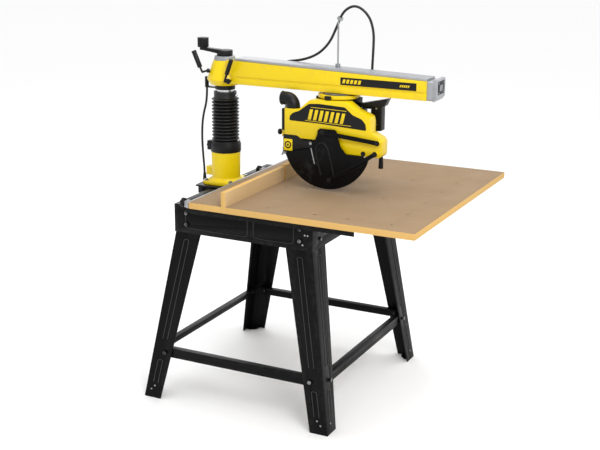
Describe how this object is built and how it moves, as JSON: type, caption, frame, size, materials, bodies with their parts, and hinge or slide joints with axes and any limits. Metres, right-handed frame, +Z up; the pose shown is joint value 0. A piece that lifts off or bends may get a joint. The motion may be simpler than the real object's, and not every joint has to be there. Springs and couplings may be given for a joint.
{
  "type": "radial arm saw",
  "caption": "Radial arm saw on a splayed steel stand: crank-raised column, swinging arm, roller carriage, swivelling yoke, guarded blade and board table with fence.",
  "frame": {"origin": "centre of the footprint box on the floor", "axes": "+Z up; -Y towards the operator, along the arm; +X to the operator's right, away from the blade"},
  "size_m": [0.948, 1.087, 1.4513],
  "materials": {
    "yellow_paint": "satin enamel",
    "black_paint": "semi-gloss powder coat",
    "black_plastic": "moulded, fine grain",
    "grey_plastic": "moulded, fine grain",
    "black_rubber": "matt",
    "cable_jacket": "smooth matt",
    "dark_steel": "bronzed",
    "zinc_steel": "zinc plated",
    "black_steel": "blackened",
    "bright_steel": "ground",
    "blade_steel": "ground with radial polish",
    "cast_aluminium": "brushed",
    "particle_board": "sanded fibreboard",
    "cast_grey": "painted"
  },
  "bodies": {
    "stand": {"leg_front_left": "black_paint", "leg_front_right": "black_paint", "leg_rear_left": "black_paint", "leg_rear_right": "black_paint", "side_panels": "black_paint", "end_panels": "black_paint", "lower_rails": "black_paint", "table_frame": "black_paint", "stand_bolts": "black_steel", "table_board": "particle_board", "rear_board": "particle_board", "fence_left": "particle_board", "fence_right": "particle_board", "table_screws": "dark_steel", "clamp_bar": "cast_aluminium", "column_bracket": "black_paint", "column_base": "yellow_paint", "bellows_collar": "black_plastic", "bellows": "black_rubber", "supply_box": "black_plastic", "supply_cable": "cable_jacket"},
    "clamp_left": {"clamp_screw_left": "black_plastic"},
    "clamp_right": {"clamp_screw_right": "black_plastic"},
    "column": {"column_tube": "bright_steel", "column_neck": "black_plastic"},
    "crank_assembly": {"crank": "black_plastic", "elevating_screw": "bright_steel"},
    "arm": {"arm_head": "yellow_paint", "head_cap": "grey_plastic", "arm_beam": "yellow_paint", "arm_top_cover": "cast_aluminium", "arm_nose": "cast_aluminium", "arm_end_cap": "grey_plastic", "track_rods": "bright_steel", "cable_mast": "zinc_steel", "motor_cable": "cable_jacket"},
    "mitre_clamp": {"mitre_clamp_lever": "black_plastic"},
    "mitre_latch": {"mitre_latch_lever": "black_plastic"},
    "carriage": {"carriage_body": "cast_grey", "swivel_ring": "yellow_paint"},
    "roller_1": {"carriage_roller_1": "bright_steel"},
    "roller_2": {"carriage_roller_2": "bright_steel"},
    "roller_3": {"carriage_roller_3": "bright_steel"},
    "roller_4": {"carriage_roller_4": "bright_steel"},
    "rip_lock": {"carriage_knob": "black_plastic"},
    "swivel_latch": {"yoke_latch": "black_plastic"},
    "yoke_assembly": {"yoke": "black_paint", "handle": "black_plastic"},
    "switch": {"trigger": "grey_plastic"},
    "bevel_clamp": {"bevel_lever": "black_plastic"},
    "motor": {"motor_housing": "black_paint", "motor_end_cover": "black_plastic", "upper_guard": "yellow_paint", "dust_elbow": "black_plastic"},
    "kickback": {"kickback_rod": "zinc_steel"},
    "saw_blade": {"arbor": "bright_steel", "blade": "blade_steel"},
    "link_a": {"guard_link_upper": "black_paint"},
    "dish": {"lower_guard": "black_paint"},
    "link_b": {"guard_link_lower": "black_paint"}
  },
  "joints": [
    {"name": "elevation", "type": "slide", "parent": "stand", "child": "column", "axis": [0, 0, 1], "range_m": [-0.005, 0.08], "deforming": ["bellows", "supply_cable"]},
    {"name": "crank_turn", "type": "hinge", "parent": "column", "child": "crank_assembly", "pos_m": [0, 0.4165, 1.25], "axis": [0, 0, -1], "range_deg": [-460, 7210]},
    {"name": "mitre", "type": "hinge", "parent": "column", "child": "arm", "pos_m": [0, 0.4165, 1.18], "axis": [0, 0, 1], "range_deg": [-22, 45]},
    {"name": "mitre_clamp_turn", "type": "hinge", "parent": "arm", "child": "mitre_clamp", "pos_m": [-0.049, 0.4655, 1.188], "axis": [-0.7071, 0.7071, 0], "range_deg": [-25, 25]},
    {"name": "mitre_latch_turn", "type": "hinge", "parent": "arm", "child": "mitre_latch", "pos_m": [-0.068, 0.3645, 1.158], "axis": [1, 0, 0], "range_deg": [-20, 20]},
    {"name": "carriage_travel", "type": "slide", "parent": "arm", "child": "carriage", "axis": [0, 1, 0], "range_m": [-0.25, 0.085], "deforming": ["motor_cable"]},
    {"name": "rip_lock_turn", "type": "hinge", "parent": "carriage", "child": "rip_lock", "pos_m": [0.066, -0.0295, 1.157], "axis": [1, 0, 0], "range_deg": [-90, 90]},
    {"name": "swivel_latch_pull", "type": "slide", "parent": "carriage", "child": "swivel_latch", "axis": [-1, 0, 0], "range_m": [0, 0.008], "stiffness_N_per_m": 400},
    {"name": "yoke_swivel", "type": "hinge", "parent": "carriage", "child": "yoke_assembly", "pos_m": [0, -0.0575, 1.12], "axis": [0, 0, 1], "range_deg": [-90, 90]},
    {"name": "switch_press", "type": "slide", "parent": "yoke_assembly", "child": "switch", "axis": [0, -1, 0], "range_m": [0, 0.005], "stiffness_N_per_m": 400},
    {"name": "bevel_clamp_turn", "type": "hinge", "parent": "yoke_assembly", "child": "bevel_clamp", "pos_m": [0, -0.2255, 0.978], "axis": [0, -1, 0], "range_deg": [0, 60]},
    {"name": "bevel", "type": "hinge", "parent": "yoke_assembly", "child": "motor", "pos_m": [0, -0.0575, 0.978], "axis": [0, -1, 0], "range_deg": [0, 3.5]},
    {"name": "blade_spin", "type": "hinge", "parent": "motor", "child": "saw_blade", "pos_m": [-0.065, -0.0575, 0.978], "axis": [1, 0, 0], "continuous": true},
    {"name": "kickback_height", "type": "slide", "parent": "motor", "child": "kickback", "axis": [0, 0, -1], "range_m": [0, 0.05]},
    {"name": "guard_lift", "type": "hinge", "parent": "motor", "child": "link_a", "pos_m": [-0.113, -0.2565, 0.995], "axis": [1, 0, 0], "range_deg": [0, 18]},
    {"name": "guard_lower_link", "type": "hinge", "parent": "motor", "child": "link_b", "pos_m": [-0.113, -0.2485, 0.955], "axis": [1, 0, 0], "range_deg": [0, 19.5]},
    {"name": "guard_dish", "type": "hinge", "parent": "link_a", "child": "dish", "pos_m": [-0.113, -0.0465, 1.013], "axis": [1, 0, 0], "range_deg": [-4.5, 0.5]},
    {"name": "clamp_left_turn", "type": "hinge", "parent": "stand", "child": "clamp_left", "pos_m": [-0.452, 0.3095, 0.791], "axis": [0, 1, 0], "range_deg": [-170, 170]},
    {"name": "clamp_right_turn", "type": "hinge", "parent": "stand", "child": "clamp_right", "pos_m": [0.099, 0.3095, 0.791], "axis": [0, 1, 0], "range_deg": [-170, 170]},
    {"name": "roller_1_spin", "type": "hinge", "parent": "carriage", "child": "roller_1", "pos_m": [-0.014, -0.1125, 1.16], "axis": [0, 0, 1], "range_deg": [-1150, 1150]},
    {"name": "roller_2_spin", "type": "hinge", "parent": "carriage", "child": "roller_2", "pos_m": [0.014, -0.1125, 1.16], "axis": [0, 0, 1], "range_deg": [-1150, 1150]},
    {"name": "roller_3_spin", "type": "hinge", "parent": "carriage", "child": "roller_3", "pos_m": [-0.014, -0.0025, 1.16], "axis": [0, 0, 1], "range_deg": [-1150, 1150]},
    {"name": "roller_4_spin", "type": "hinge", "parent": "carriage", "child": "roller_4", "pos_m": [0.014, -0.0025, 1.16], "axis": [0, 0, 1], "range_deg": [-1150, 1150]}
  ],
  "couplings": [
    {"joint": "crank_turn", "follows": "elevation", "rad_per_m": 1570.8},
    {"joint": "guard_lower_link", "follows": "guard_lift", "ratio": 1.052},
    {"joint": "guard_dish", "follows": "guard_lift", "ratio": -0.205},
    {"joint": "roller_1_spin", "follows": "carriage_travel", "rad_per_m": 77.519},
    {"joint": "roller_2_spin", "follows": "carriage_travel", "rad_per_m": -77.519},
    {"joint": "roller_3_spin", "follows": "carriage_travel", "rad_per_m": 77.519},
    {"joint": "roller_4_spin", "follows": "carriage_travel", "rad_per_m": -77.519}
  ]
}
